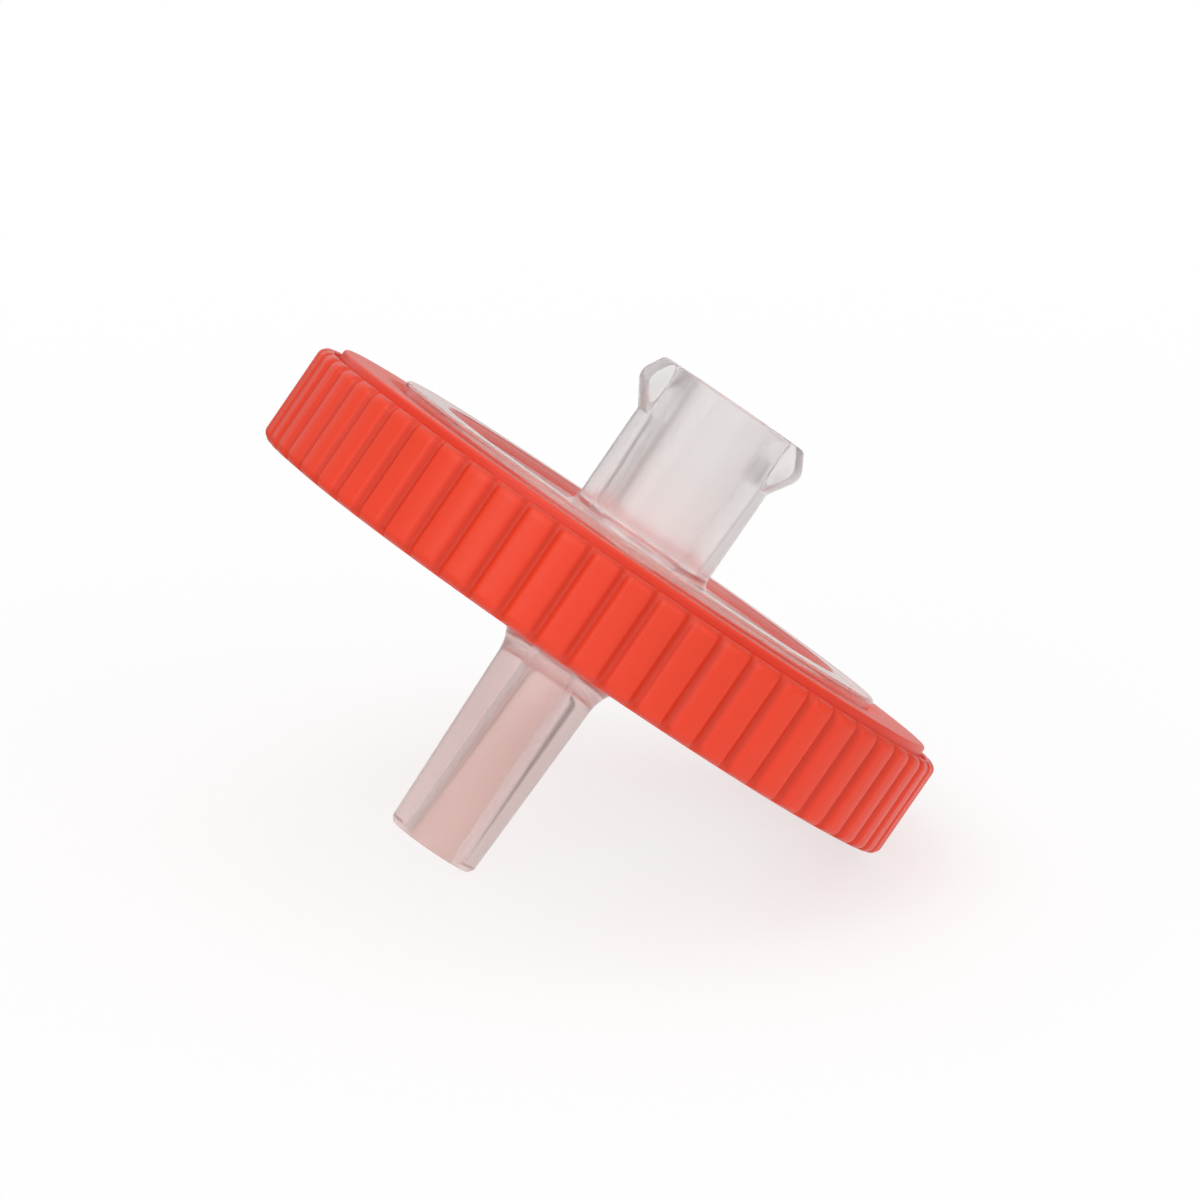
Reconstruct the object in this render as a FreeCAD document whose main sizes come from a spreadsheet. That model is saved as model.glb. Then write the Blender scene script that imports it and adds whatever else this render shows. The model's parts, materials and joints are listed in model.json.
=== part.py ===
import FreeCAD, Part
import math
import os
import re
import Sketcher

# Syringe filter for a 25 mm membrane, in millimetres, +Z up.
#
# Four pieces: two translucent housings with the membrane between them, and the ribbed ring that is
# moulded over both flanges.  Each piece is drawn about its own upright axis, with the height zero
# where the two flanges meet and the inlet on top.  All four then lean over together, the way the
# filter lies on a bench: on the ring's lower edge and on the outlet tip.  The bench is the plane
# Z = 0, and the ring's centre stands over the origin.

# Each driving size: its alias, its value in millimetres (or a count, or degrees), and what it is.
SIZES = [
    ("rim_dia", 30.5, "grip ring, over its ribs"),
    ("rim_height", 4.45, "grip ring, ribbed edge"),
    ("rim_corner", 0.25, "bevel on the ribbed edge's corners"),
    ("rib_count", 60, "count of ribs round the rim"),
    ("rib_gap_depth", 0.27, "depth of the groove between two ribs"),
    ("rib_gap_floor", 0.2, "width of that groove's floor"),
    ("rib_gap_mouth", 0.72, "width of that groove at the rim"),
    ("seam_dia", 29.4, "shallow seam round the ring's face, outside"),
    ("seam_height", 4.05, "from the floor of one seam to the other"),
    ("face_dia", 28.8, "ring's flat faces, outside"),
    ("upper_face", 2.6, "ring's face from the flange line, inlet side"),
    ("lower_face", 2.3, "the same on the outlet side"),
    ("bevel_dia", 24.6, "ring's flat faces, inside"),
    ("upper_lip", 2.25, "ring at the window's edge, inlet side"),
    ("lower_lip", 2.0, "the same on the outlet side"),
    ("window_dia", 23.2, "round window, and the ring's bore"),
    ("window_corner", 0.2, "bevel on the window's edge"),
    ("flange_dia", 27.4, "housing flange inside the ring"),
    ("flange_height", 2.7, "both flanges together"),
    ("membrane_dia", 25.0, "filter membrane"),
    ("membrane_height", 0.2, "membrane's thickness"),
    ("chamber_dia", 21.4, "free area of the membrane"),
    ("chamber_height", 0.55, "chamber's flat wall from the flange line"),
    ("funnel_dia", 6.0, "funnel in the middle of each chamber"),
    ("funnel_height", 1.2, "funnel's narrow end from the flange line"),
    ("rib_root", 0.5, "foot of an inner rib sunk in the wall"),
    ("step_dia", 19.2, "shallow recess in each window"),
    ("inlet_face", 2.6, "window's recess from the flange line, inlet side"),
    ("inlet_shoulder", 3.0, "raised border round that recess"),
    ("outlet_face", 2.1, "window's recess from the flange line, outlet side"),
    ("outlet_shoulder", 2.35, "raised border round that recess"),
    ("socket_top", 9.75, "luer socket's mouth from the flange line"),
    ("socket_dia", 4.3, "luer socket at its mouth"),
    ("socket_depth", 7.5, "luer socket's depth"),
    ("luer_taper", 0.06, "taper of a luer cone, on its diameter"),
    ("barrel_dia", 6.4, "outside of the luer socket"),
    ("barrel_root", 0.6, "radius at the foot of the socket"),
    ("inlet_hole_dia", 1.5, "hole from the socket to the chamber"),
    ("lug_span", 7.83, "across the two locking lugs"),
    ("lug_crown_dia", 6.9, "across the lugs at the socket's mouth"),
    ("lug_drop", 0.85, "from the mouth down to the lug's widest place"),
    ("lug_land", 0.35, "height of the lug's widest place"),
    ("lug_height", 2.35, "from the mouth to the lug's foot"),
    ("lug_angle", 62.0, "degrees that one lug spans round the axis"),
    ("lug_turn", -26.0, "degrees by which the inlet lies turned"),
    ("inlet_rib_count", 16, "count of ribs over the membrane"),
    ("inlet_rib_width", 0.5, "width of a rib over the membrane"),
    ("inlet_rib_start", 3.3, "from the axis to the rib's inner end"),
    ("inlet_rib_gap", 0.15, "from a rib to the membrane"),
    ("tip_bottom", 12.3, "outlet tip's end from the flange line"),
    ("tip_dia", 4.04, "outlet tip at its end"),
    ("tip_edge", 0.2, "bevel on the tip's rim"),
    ("tip_root", 2.0, "radius at the foot of the tip"),
    ("lumen_dia", 1.7, "outlet lumen at the chamber"),
    ("lumen_mouth_dia", 2.1, "outlet lumen at the tip's end"),
    ("ridge_count", 4, "count of round ridges under the membrane"),
    ("ridge_start", 3.4, "from the axis to the first ridge"),
    ("ridge_pitch", 2.0, "from ridge to ridge"),
    ("ridge_width", 0.6, "width of a ridge"),
    ("channel_count", 8, "count of channels through the ridges"),
    ("channel_width", 0.9, "width of a channel"),
]
VALUE = {alias: value for alias, value, note in SIZES}

ALIAS = r"[a-z][a-z_]+"
ORIGIN_POINT = (-1, 1)
START, END, CENTRE = 1, 2, 3
FULL_TURN = 360.0
UPWARD = FreeCAD.Vector(0, 0, 1)
CLOSE = 0.001

doc = FreeCAD.newDocument("syringe_filter")


# ---- the sheet and what is bound to it ----------------------------------------------------------

def make_sheet():
    """Put every driving size in a spreadsheet, each under its alias."""
    sheet = doc.addObject("Spreadsheet::Sheet", "Sizes")
    for row, (alias, value, note) in enumerate(SIZES, start=1):
        sheet.set(f"A{row}", note)
        sheet.set(f"B{row}", str(value))
        sheet.setAlias(f"B{row}", alias)
    doc.recompute()


def bind(thing, target, formula):
    """Bind a property or constraint to a formula of the sheet's aliases."""
    thing.setExpression(target, re.sub(ALIAS, r"Sizes.\g<0>", formula))


def value_of(formula):
    """Work out such a formula in place, to draw a line about where its constraints will hold it."""
    terms = re.sub(ALIAS, lambda alias: str(VALUE[alias.group()]), formula)
    return FreeCAD.Units.Quantity(terms).Value


# ---- bodies, sketches and features --------------------------------------------------------------

def make_body(label):
    body = doc.addObject("PartDesign::Body", label)
    body.Label = label
    return body


def origin_feature(body, role):
    return next(item for item in body.Origin.OriginFeatures if item.Role == role)


def make_sketch(body, name, plane, lift="0"):
    """Start a sketch on one of the body's own planes, raised off it by a formula."""
    sketch = body.newObject("Sketcher::SketchObject", name)
    sketch.AttachmentSupport = [(origin_feature(body, plane), "")]
    sketch.MapMode = "FlatFace"
    bind(sketch, "AttachmentOffset.Base.z", lift)
    return sketch


def pin(sketch, kind, points, formula):
    """Add a dimension to a sketch and bind it to a formula."""
    index = sketch.addConstraint(Sketcher.Constraint(kind, *points, value_of(formula)))
    bind(sketch, f"Constraints[{index}]", formula)


def draw_outline(sketch, corners):
    """Draw a closed outline of straight lines through corners given as (across, up) formulas."""
    places = [FreeCAD.Vector(value_of(across), value_of(up)) for across, up in corners]
    first = sketch.GeometryCount
    for start, end in zip(places, places[1:] + places[:1]):
        sketch.addGeometry(Part.LineSegment(start, end))
    for index, (across, up) in enumerate(corners):
        line = first + index
        before = first + (index - 1) % len(corners)
        sketch.addConstraint(Sketcher.Constraint("Coincident", before, END, line, START))
        pin(sketch, "DistanceX", (*ORIGIN_POINT, line, START), across)
        pin(sketch, "DistanceY", (*ORIGIN_POINT, line, START), up)


def draw_circle(sketch, dia):
    """Draw a circle about the sketch's origin."""
    circle = sketch.addGeometry(Part.Circle(FreeCAD.Vector(), UPWARD, value_of(dia) / 2))
    pin(sketch, "Radius", (circle,), f"{dia} / 2")
    sketch.addConstraint(Sketcher.Constraint("Coincident", *ORIGIN_POINT, circle, CENTRE))


def revolve(body, name, outlines, angle=None):
    """Turn outlines round the body's axis: a full turn, or an angle to both sides of the sketch."""
    sketch = make_sketch(body, f"{name}_section", "XZ_Plane")
    for corners in outlines:
        draw_outline(sketch, corners)
    turned = body.newObject("PartDesign::Revolution", name)
    turned.Profile = sketch
    turned.ReferenceAxis = (sketch, ["V_Axis"])
    turned.Angle = FULL_TURN
    if angle:
        turned.Midplane = True
        bind(turned, "Angle", angle)
    return turned


def raise_pad(body, name, sketch, length):
    """Pad a sketch upward."""
    pad = body.newObject("PartDesign::Pad", name)
    pad.Profile = sketch
    bind(pad, "Length", length)
    return pad


def cut_down(body, name, sketch, depth):
    """Cut a sketch downward into the body, and make sure that it takes something away."""
    doc.recompute()
    before = body.Shape.Volume
    pocket = body.newObject("PartDesign::Pocket", name)
    pocket.Profile = sketch
    bind(pocket, "Length", depth)
    doc.recompute()
    if not body.Shape.Volume < before:
        raise RuntimeError(f"{name} cuts nothing")
    return pocket


def repeat_round(body, name, feature, count):
    """Repeat a feature all round the body's axis."""
    pattern = body.newObject("PartDesign::PolarPattern", name)
    pattern.Originals = [feature]
    pattern.Axis = (origin_feature(body, "Z_Axis"), [""])
    pattern.Angle = FULL_TURN
    bind(pattern, "Occurrences", count)
    body.Tip = pattern


def round_edge(body, name, radius, dia, height):
    """Round the body's circular edge of this diameter at this height."""
    doc.recompute()
    base = body.Tip
    wanted = (value_of(dia) / 2, value_of(height))
    for number, edge in enumerate(base.Shape.Edges, start=1):
        curve = edge.Curve
        if isinstance(curve, Part.Circle) and math.dist(wanted, (curve.Radius, curve.Center.z)) < CLOSE:
            fillet = body.newObject("PartDesign::Fillet", name)
            fillet.Base = (base, [f"Edge{number}"])
            bind(fillet, "Radius", radius)
            return
    raise RuntimeError(f"{name} found no edge")


# ---- the four pieces ----------------------------------------------------------------------------

def ring_profile(lip, face):
    """Half of the ring's section, from its pocket over its lip and flat face to the ribbed edge."""
    return [
        ("window_dia / 2", "flange_height / 2"),
        ("window_dia / 2", lip),
        ("bevel_dia / 2", face),
        ("face_dia / 2", face),
        ("face_dia / 2", "seam_height / 2"),
        ("seam_dia / 2", "seam_height / 2"),
        ("seam_dia / 2", "rim_height / 2"),
        ("rim_dia / 2 - rim_corner", "rim_height / 2"),
        ("rim_dia / 2", "rim_height / 2 - rim_corner"),
    ]


def make_grip_ring():
    """The ring: a section that grips both flanges, with ribs left between grooves in its rim."""
    body = make_body("grip_ring")
    upper_half = ring_profile("upper_lip", "upper_face")
    mirrored_half = ring_profile("lower_lip", "lower_face")
    lower_half = [(across, f"-({up})") for across, up in reversed(mirrored_half)]
    pocket = [("flange_dia / 2", "-flange_height / 2"), ("flange_dia / 2", "flange_height / 2")]
    revolve(body, "ring", [upper_half + lower_half + pocket])
    sketch = make_sketch(body, "rib_gap_section", "XY_Plane", "rim_height")
    gap_foot = "rim_dia / 2 - rib_gap_depth"
    beyond_rim = "rim_dia / 2 + rib_gap_depth"
    half_beyond = "rib_gap_mouth - rib_gap_floor / 2"
    draw_outline(sketch, [
        (gap_foot, "-rib_gap_floor / 2"),
        (beyond_rim, f"-({half_beyond})"),
        (beyond_rim, half_beyond),
        (gap_foot, "rib_gap_floor / 2"),
    ])
    gap = cut_down(body, "rib_gap", sketch, "2 * rim_height")
    repeat_round(body, "rib_gaps", gap, "rib_count")
    return body


def make_inlet_housing():
    """The inlet side: flange, recessed window, luer socket with two lugs, and ribs inside."""
    body = make_body("inlet_housing")
    socket_floor = "socket_top - socket_depth"
    revolve(body, "inlet_shell", [[
        ("inlet_hole_dia / 2", "funnel_height"),
        ("funnel_dia / 2", "chamber_height"),
        ("chamber_dia / 2", "chamber_height"),
        ("chamber_dia / 2", "membrane_height / 2"),
        ("membrane_dia / 2", "membrane_height / 2"),
        ("membrane_dia / 2", "0"),
        ("flange_dia / 2", "0"),
        ("flange_dia / 2", "flange_height / 2"),
        ("window_dia / 2", "flange_height / 2"),
        ("window_dia / 2", "inlet_shoulder - window_corner"),
        ("window_dia / 2 - window_corner", "inlet_shoulder"),
        ("step_dia / 2", "inlet_shoulder"),
        ("step_dia / 2", "inlet_face"),
        ("barrel_dia / 2", "inlet_face"),
        ("barrel_dia / 2", "socket_top"),
        ("socket_dia / 2", "socket_top"),
        ("(socket_dia - luer_taper * socket_depth) / 2", socket_floor),
        ("inlet_hole_dia / 2", socket_floor),
    ]])
    round_edge(body, "barrel_root_fillet", "barrel_root", "barrel_dia", "inlet_face")
    inside_wall = "(barrel_dia + socket_dia) / 4"
    lug = revolve(body, "lug", [[
        (inside_wall, "socket_top"),
        ("lug_crown_dia / 2", "socket_top"),
        ("lug_span / 2", "socket_top - lug_drop"),
        ("lug_span / 2", "socket_top - lug_drop - lug_land"),
        ("barrel_dia / 2", "socket_top - lug_height"),
        (inside_wall, "socket_top - lug_height"),
    ]], "lug_angle")
    repeat_round(body, "lugs", lug, "2")
    rib_foot = "membrane_height / 2 + inlet_rib_gap"
    sketch = make_sketch(body, "inlet_rib_section", "XY_Plane", rib_foot)
    rib_end = "(chamber_dia - inlet_rib_width) / 2"
    draw_outline(sketch, [
        ("inlet_rib_start", "-inlet_rib_width / 2"),
        (rib_end, "-inlet_rib_width / 2"),
        (rib_end, "inlet_rib_width / 2"),
        ("inlet_rib_start", "inlet_rib_width / 2"),
    ])
    rib = raise_pad(body, "inlet_rib", sketch, f"chamber_height + rib_root - ({rib_foot})")
    repeat_round(body, "inlet_ribs", rib, "inlet_rib_count")
    return body


def make_outlet_housing():
    """The outlet side: flange, recessed window, luer tip, and ridges that carry the membrane."""
    body = make_body("outlet_housing")
    tip_foot_dia = "tip_dia + luer_taper * (tip_bottom - tip_edge - outlet_face)"
    revolve(body, "outlet_shell", [[
        ("lumen_dia / 2", "-funnel_height"),
        ("funnel_dia / 2", "-chamber_height"),
        ("chamber_dia / 2", "-chamber_height"),
        ("chamber_dia / 2", "-membrane_height / 2"),
        ("membrane_dia / 2", "-membrane_height / 2"),
        ("membrane_dia / 2", "0"),
        ("flange_dia / 2", "0"),
        ("flange_dia / 2", "-flange_height / 2"),
        ("window_dia / 2", "-flange_height / 2"),
        ("window_dia / 2", "-(outlet_shoulder - window_corner)"),
        ("window_dia / 2 - window_corner", "-outlet_shoulder"),
        ("step_dia / 2", "-outlet_shoulder"),
        ("step_dia / 2", "-outlet_face"),
        (f"({tip_foot_dia}) / 2", "-outlet_face"),
        ("tip_dia / 2", "-(tip_bottom - tip_edge)"),
        ("tip_dia / 2 - tip_edge", "-tip_bottom"),
        ("lumen_mouth_dia / 2", "-tip_bottom"),
    ]])
    round_edge(body, "tip_root_fillet", "tip_root", tip_foot_dia, "-outlet_face")
    ridges = []
    for step in range(VALUE["ridge_count"]):
        inner = f"ridge_start + {step} * ridge_pitch"
        ridges.append([
            (inner, "-membrane_height / 2"),
            (f"{inner} + ridge_width", "-membrane_height / 2"),
            (f"{inner} + ridge_width", "-chamber_height - rib_root"),
            (inner, "-chamber_height - rib_root"),
        ])
    revolve(body, "ridges", ridges)
    sketch = make_sketch(body, "channel_section", "XY_Plane", "-membrane_height / 2")
    channel_end = "(chamber_dia - channel_width) / 2"
    draw_outline(sketch, [
        ("funnel_dia / 2", "-channel_width / 2"),
        (channel_end, "-channel_width / 2"),
        (channel_end, "channel_width / 2"),
        ("funnel_dia / 2", "channel_width / 2"),
    ])
    channel = cut_down(body, "channel", sketch, "chamber_height - membrane_height / 2")
    repeat_round(body, "channels", channel, "channel_count")
    return body


def make_membrane():
    """The membrane: a flat disc clamped between the two housings."""
    body = make_body("membrane")
    sketch = make_sketch(body, "membrane_section", "XY_Plane", "-membrane_height / 2")
    draw_circle(sketch, "membrane_dia")
    raise_pad(body, "membrane_disc", sketch, "membrane_height")
    return body


# ---- how the filter lies on the bench -----------------------------------------------------------

def bench_pose():
    """Work out the lean and the lift that put both the ring and the outlet tip on the bench.

    Seen from the side, the bench is the line under two corners: where the ring's bevel meets its
    underside, and where the tip's bevel meets its end.
    """
    ring_out = VALUE["rim_dia"] / 2 - VALUE["rim_corner"]
    ring_down = VALUE["rim_height"] / 2
    tip_out = VALUE["tip_dia"] / 2 - VALUE["tip_edge"]
    lean = math.atan2(VALUE["tip_bottom"] - ring_down, ring_out - tip_out)
    lift = ring_out * math.sin(lean) + ring_down * math.cos(lean)
    return math.degrees(lean), lift


def lay_down(body, turn=0.0):
    """Lean a piece over with the others, turned about its own axis first."""
    lean, lift = bench_pose()
    leaning = FreeCAD.Rotation(FreeCAD.Vector(0, 1, 0), lean)
    turned = FreeCAD.Rotation(UPWARD, turn)
    body.Placement = FreeCAD.Placement(FreeCAD.Vector(0, 0, lift), leaning * turned)


def check_document(pieces):
    """Stop if any feature failed or any piece has no sound single solid."""
    doc.recompute()
    for thing in doc.Objects:
        if {"Invalid", "Error"} & set(thing.State):
            raise RuntimeError(f"{thing.Name} failed: {thing.State}")
    for body in pieces:
        shape = body.Shape
        if shape.isNull() or not shape.isValid() or len(shape.Solids) != 1:
            raise RuntimeError(f"{body.Label} is not one valid solid")


def main():
    make_sheet()
    ring = make_grip_ring()
    inlet = make_inlet_housing()
    outlet = make_outlet_housing()
    membrane = make_membrane()
    half_rib_pitch = FULL_TURN / VALUE["rib_count"] / 2
    lay_down(ring, half_rib_pitch)
    lay_down(inlet, VALUE["lug_turn"])
    lay_down(outlet)
    lay_down(membrane)
    pieces = [ring, inlet, outlet, membrane]
    check_document(pieces)
    os.makedirs("parts", exist_ok=True)
    for body in pieces:
        body.Shape.exportStep(f"parts/{body.Label}.step")
        print(f"{body.Label}: {body.Shape.Volume:.1f} cubic mm")


main()
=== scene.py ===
"""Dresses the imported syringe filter: a moulded ring, two translucent housings and a membrane.

Sizes are in millimetres about the filter's own axis, with the height zero where the two housings
meet and the inlet on top.  Each finished mesh is then leaned over onto the bench, where the frame
has it.
"""

import json
import math
from collections import namedtuple

import bmesh
import bpy
from mathutils import Matrix, Vector


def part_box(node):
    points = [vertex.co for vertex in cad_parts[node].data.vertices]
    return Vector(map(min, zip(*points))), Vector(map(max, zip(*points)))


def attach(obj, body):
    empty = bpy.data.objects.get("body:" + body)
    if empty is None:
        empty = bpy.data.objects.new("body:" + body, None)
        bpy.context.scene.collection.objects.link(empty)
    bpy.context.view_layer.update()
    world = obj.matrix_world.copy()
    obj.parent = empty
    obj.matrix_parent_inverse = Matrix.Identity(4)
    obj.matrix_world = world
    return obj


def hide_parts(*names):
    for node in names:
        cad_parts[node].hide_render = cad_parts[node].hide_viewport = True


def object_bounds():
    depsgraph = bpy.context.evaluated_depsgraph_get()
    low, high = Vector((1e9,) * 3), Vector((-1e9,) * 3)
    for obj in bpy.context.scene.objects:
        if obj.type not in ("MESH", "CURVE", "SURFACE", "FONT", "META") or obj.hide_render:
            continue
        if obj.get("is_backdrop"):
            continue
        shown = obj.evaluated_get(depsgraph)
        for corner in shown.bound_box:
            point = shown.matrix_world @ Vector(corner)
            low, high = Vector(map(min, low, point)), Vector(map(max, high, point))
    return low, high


bl_info = {
    "name": "Syringe Filter",
    "version": (1, 0, 0),
    "blender": (4, 5, 0),
    "location": "3D View > Sidebar > Filter",
    "description": "Builds a syringe filter with its materials, lights and camera",
    "category": "Object",
}

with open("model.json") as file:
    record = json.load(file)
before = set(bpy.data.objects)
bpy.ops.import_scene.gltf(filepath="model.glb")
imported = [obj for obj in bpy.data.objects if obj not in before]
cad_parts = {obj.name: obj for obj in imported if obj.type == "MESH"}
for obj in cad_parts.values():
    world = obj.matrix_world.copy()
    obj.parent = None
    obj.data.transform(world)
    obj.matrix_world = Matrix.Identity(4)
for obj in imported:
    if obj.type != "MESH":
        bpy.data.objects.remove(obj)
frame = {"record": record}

MM = 0.001
WHITE = (1.0, 1.0, 1.0, 1.0)
FULL_TURN = 2 * math.pi
CORNER_STEPS = 5  # least count of flats in a rounded corner
CORNER_STEPS_PER_MM = 4  # flats that each millimetre of its radius adds
CORNER_HOLD = 0.04  # flat strip beside a rounded corner, which keeps its shading off the face
SLIM_GAP = 0.006  # air between two pieces that touch, so that their faces don't coincide
BOND = 0.015  # how far a face that is moulded or clamped onto clear plastic reaches into it

# Radii from the axis and heights from the flange line that more than one piece keeps to.
FLANGE_RADIUS = 13.7
FLANGE_HEIGHT = 1.35
WINDOW_RADIUS = 11.6
RECESS_RADIUS = 9.6
RECESS_DRAFT = 0.04  # how far the recess's wall slopes inward
MEMBRANE_RADIUS = 12.5
MEMBRANE_HALF = 0.1
CHAMBER_RADIUS = 10.7
CHAMBER_HEIGHT = 0.55
FUNNEL_RADIUS = 3.0
FUNNEL_HEIGHT = 1.2

Corner = namedtuple("Corner", "radius height rounding", defaults=(0.0,))
Ring = namedtuple("Ring", "radius height")


# ---- the filter's own axis -----------------------------------------------------------------------

SOCKET_MIDDLE = 6.0  # height of the socket mount on the filter's own axis


def leaning_axis(turn=0.0):
    """The transform from a piece's own upright axis to the row frame, after a turn about it."""
    socket = next(m for m in frame["record"]["mounts"] if m["name"] == "inlet_luer_socket")
    up = Vector(socket["axis"]).normalized()
    across = Vector((0, 1, 0))
    forward = across.cross(up)
    place = Vector(socket["pos_m"]) - up * SOCKET_MIDDLE * MM
    pose = Matrix((forward, across, up)).transposed().to_4x4()
    pose.translation = place
    return pose @ Matrix.Rotation(turn, 4, "Z")


# ---- turned meshes -------------------------------------------------------------------------------

def rounded_section(corners):
    """Round each corner of a closed section, and return its outline as rings."""
    outline = []
    for index, corner in enumerate(corners):
        before, after = corners[index - 1], corners[(index + 1) % len(corners)]
        here = Vector((corner.radius, corner.height))
        back = Vector((before.radius, before.height)) - here
        onward = Vector((after.radius, after.height)) - here
        if not corner.rounding:
            outline.append(Ring(*here))
            continue
        half = back.angle(onward) / 2
        reach = corner.rounding / math.tan(half)
        spare = min(back.length, onward.length) - reach
        hold = min(CORNER_HOLD, spare / 3)
        back.normalize()
        onward.normalize()
        centre = here + (back + onward).normalized() * corner.rounding / math.sin(half)
        start, end = here + back * reach - centre, here + onward * reach - centre
        turn = start.angle_signed(end)
        steps = CORNER_STEPS + int(CORNER_STEPS_PER_MM * corner.rounding)
        outline.append(Ring(*(here + back * (reach + hold))))
        for step in range(steps + 1):
            spoke = Matrix.Rotation(-turn * step / steps, 2) @ start
            outline.append(Ring(*(centre + spoke)))
        outline.append(Ring(*(here + onward * (reach + hold))))
    return outline


def polar(radius, angle, height):
    """A point in metres from its radius and height in millimetres."""
    return Vector((radius * math.cos(angle), radius * math.sin(angle), height)) * MM


def turned_mesh(name, loops):
    """A closed mesh from loops of points, each loop joined to the next and the last to the first."""
    mesh = bmesh.new()
    rows = [[mesh.verts.new(point) for point in loop] for loop in loops]
    for row, following in zip(rows, rows[1:] + rows[:1]):
        for index in range(len(row)):
            mesh.faces.new((row[index - 1], row[index], following[index], following[index - 1]))
    bmesh.ops.recalc_face_normals(mesh, faces=mesh.faces)
    data = bpy.data.meshes.new(name)
    mesh.to_mesh(data)
    mesh.free()
    data.shade_smooth()
    return data


def ramp(value, low, high):
    """0 below low, 1 above high, and a smooth rise between them."""
    share = min(max((value - low) / (high - low), 0.0), 1.0)
    return share * share * (3 - 2 * share)


def place_piece(context, data, material, nodes, turn=0.0):
    """Lean a finished mesh over with the others, in place of the nodes that it stands for."""
    data.transform(leaning_axis(turn))
    data.materials.append(material)
    piece = bpy.data.objects.new(data.name, data)
    context.scene.collection.objects.link(piece)
    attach(piece, "root")
    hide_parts(*nodes)
    return piece


# ---- the grip ring -------------------------------------------------------------------------------

# Where the columns of points stand across half a rib, as shares of the pitch from a groove's middle.
HALF_PITCH_COLUMNS = (0.0, 0.055, 0.11, 0.165, 0.22, 0.29, 0.39)
RIB_MIDDLE = 0.5  # the same for the middle of a rib
UPPER_LIP = 2.25  # height of the ring at the window's edge, inlet side
LOWER_LIP = 2.0  # the same on the outlet side
LIP_WIDTH = 0.7  # slope from the window's edge up to the flat face
SEAM_DEPTH = 0.2  # from the ribbed edge down to the seam's floor
SEAM_INSIDE = 0.85  # from the rim inward to the seam's inner wall
SEAM_OUTSIDE = 0.55  # the same for its outer wall
SEAM_DRAFT = 0.02  # how far each wall of the seam slopes outward
GROOVE_RUN_IN = 0.1  # distance over which a groove comes in at the rim's corners
RIB_CROWN = 0.03  # how far a rib's sides drop below its middle


def rib_columns(count):
    """(angle, distance from the nearest groove's middle as a share of the pitch) round the rim."""
    half = [(share, share) for share in (*HALF_PITCH_COLUMNS, RIB_MIDDLE)]
    whole = half + [(1 - share, share) for share in reversed(HALF_PITCH_COLUMNS[1:])]
    return [((rib + place) * FULL_TURN / count, off) for rib in range(count) for place, off in whole]


def ring_profile(ring, lip, face):
    """Half of the ring's section, from its bore over its lip and flat face to the ribbed rim."""
    rim = ring.rim_diameter / MM / 2
    high = ring.rim_height / MM / 2
    seam_floor = high - SEAM_DEPTH
    seam_inside, seam_outside = rim - SEAM_INSIDE, rim - SEAM_OUTSIDE
    return [
        Corner(WINDOW_RADIUS - BOND, FLANGE_HEIGHT - BOND),
        Corner(WINDOW_RADIUS - BOND, lip, 0.1),
        Corner(WINDOW_RADIUS + LIP_WIDTH, face, 0.2),
        Corner(seam_inside, face, 0.14),
        Corner(seam_inside + SEAM_DRAFT, seam_floor, 0.06),
        Corner(seam_outside, seam_floor, 0.06),
        Corner(seam_outside + SEAM_DRAFT, high, 0.07),
        Corner(rim, high, ring.corner_radius / MM),
    ]


def grip_ring_mesh(ring):
    """The ring's mesh: a rounded section with grooves pressed into its rim."""
    rim = ring.rim_diameter / MM / 2
    rounding = ring.corner_radius / MM
    upper = ring_profile(ring, UPPER_LIP, ring.upper_face / MM)
    mirrored = ring_profile(ring, LOWER_LIP, ring.lower_face / MM)
    lower = [corner._replace(height=-corner.height) for corner in reversed(mirrored)]
    pocket_radius, pocket_height = FLANGE_RADIUS - BOND, FLANGE_HEIGHT - BOND
    pocket = [Corner(pocket_radius, -pocket_height), Corner(pocket_radius, pocket_height)]
    columns = rib_columns(ring.rib_count)
    pitch = FULL_TURN / ring.rib_count * rim
    half_groove = ring.groove_width / MM / 2
    depth = ring.groove_depth / MM
    loops = []
    for radius, height in rounded_section(upper + lower + pocket):
        share = ramp(radius, rim - rounding - GROOVE_RUN_IN, rim - GROOVE_RUN_IN)
        loop = []
        for angle, off in columns:
            across = off * pitch
            groove = (1 + math.cos(math.pi * min(across / half_groove, 1.0))) / 2
            drop = RIB_CROWN * (1 - ramp(across, half_groove, pitch / 2))
            loop.append(polar(radius - share * (depth * groove + drop), angle, height))
        loops.append(loop)
    return turned_mesh("grip_ring_moulded", loops)


# ---- points round a housing ----------------------------------------------------------------------

COLUMNS = 384  # points round a housing
SIDE_COLUMNS = (0.94, 1.06)  # the two columns that make a spoke's side, as shares of its half width
SIDE_SPREAD = 0.03  # half the distance between the two rings that make a step in the chamber
INSIDE_CHAMBER = 0.1  # rings nearer to the chamber's wall than this belong to its corner


def column_step(index, spokes):
    """The nearest spoke's number, and the steps from its middle to a column, signed."""
    per_spoke = COLUMNS // spokes
    spoke, step = divmod(index + per_spoke // 2, per_spoke)
    return spoke, step - per_spoke // 2


def spoke_angle(index, spokes, half_width, radius):
    """Angle of a column, drawn to the sides of the nearest spoke where there is one."""
    spoke, step = column_step(index, spokes)
    per_spoke = COLUMNS // spokes
    pitch = FULL_TURN / spokes
    middle = spoke * pitch
    if not half_width or not step:
        return middle + step / per_spoke * pitch
    sides = [math.asin(half_width * side / radius) for side in SIDE_COLUMNS]
    steps, side_steps, last = abs(step), len(sides), per_spoke // 2
    if steps <= side_steps:
        off = sides[steps - 1]
    else:
        off = sides[-1] + (pitch / 2 - sides[-1]) * (steps - side_steps) / (last - side_steps)
    return middle + math.copysign(off, step)


def on_spoke(index, spokes):
    """Whether a column stands on a spoke."""
    return abs(column_step(index, spokes)[1]) <= 1


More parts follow.
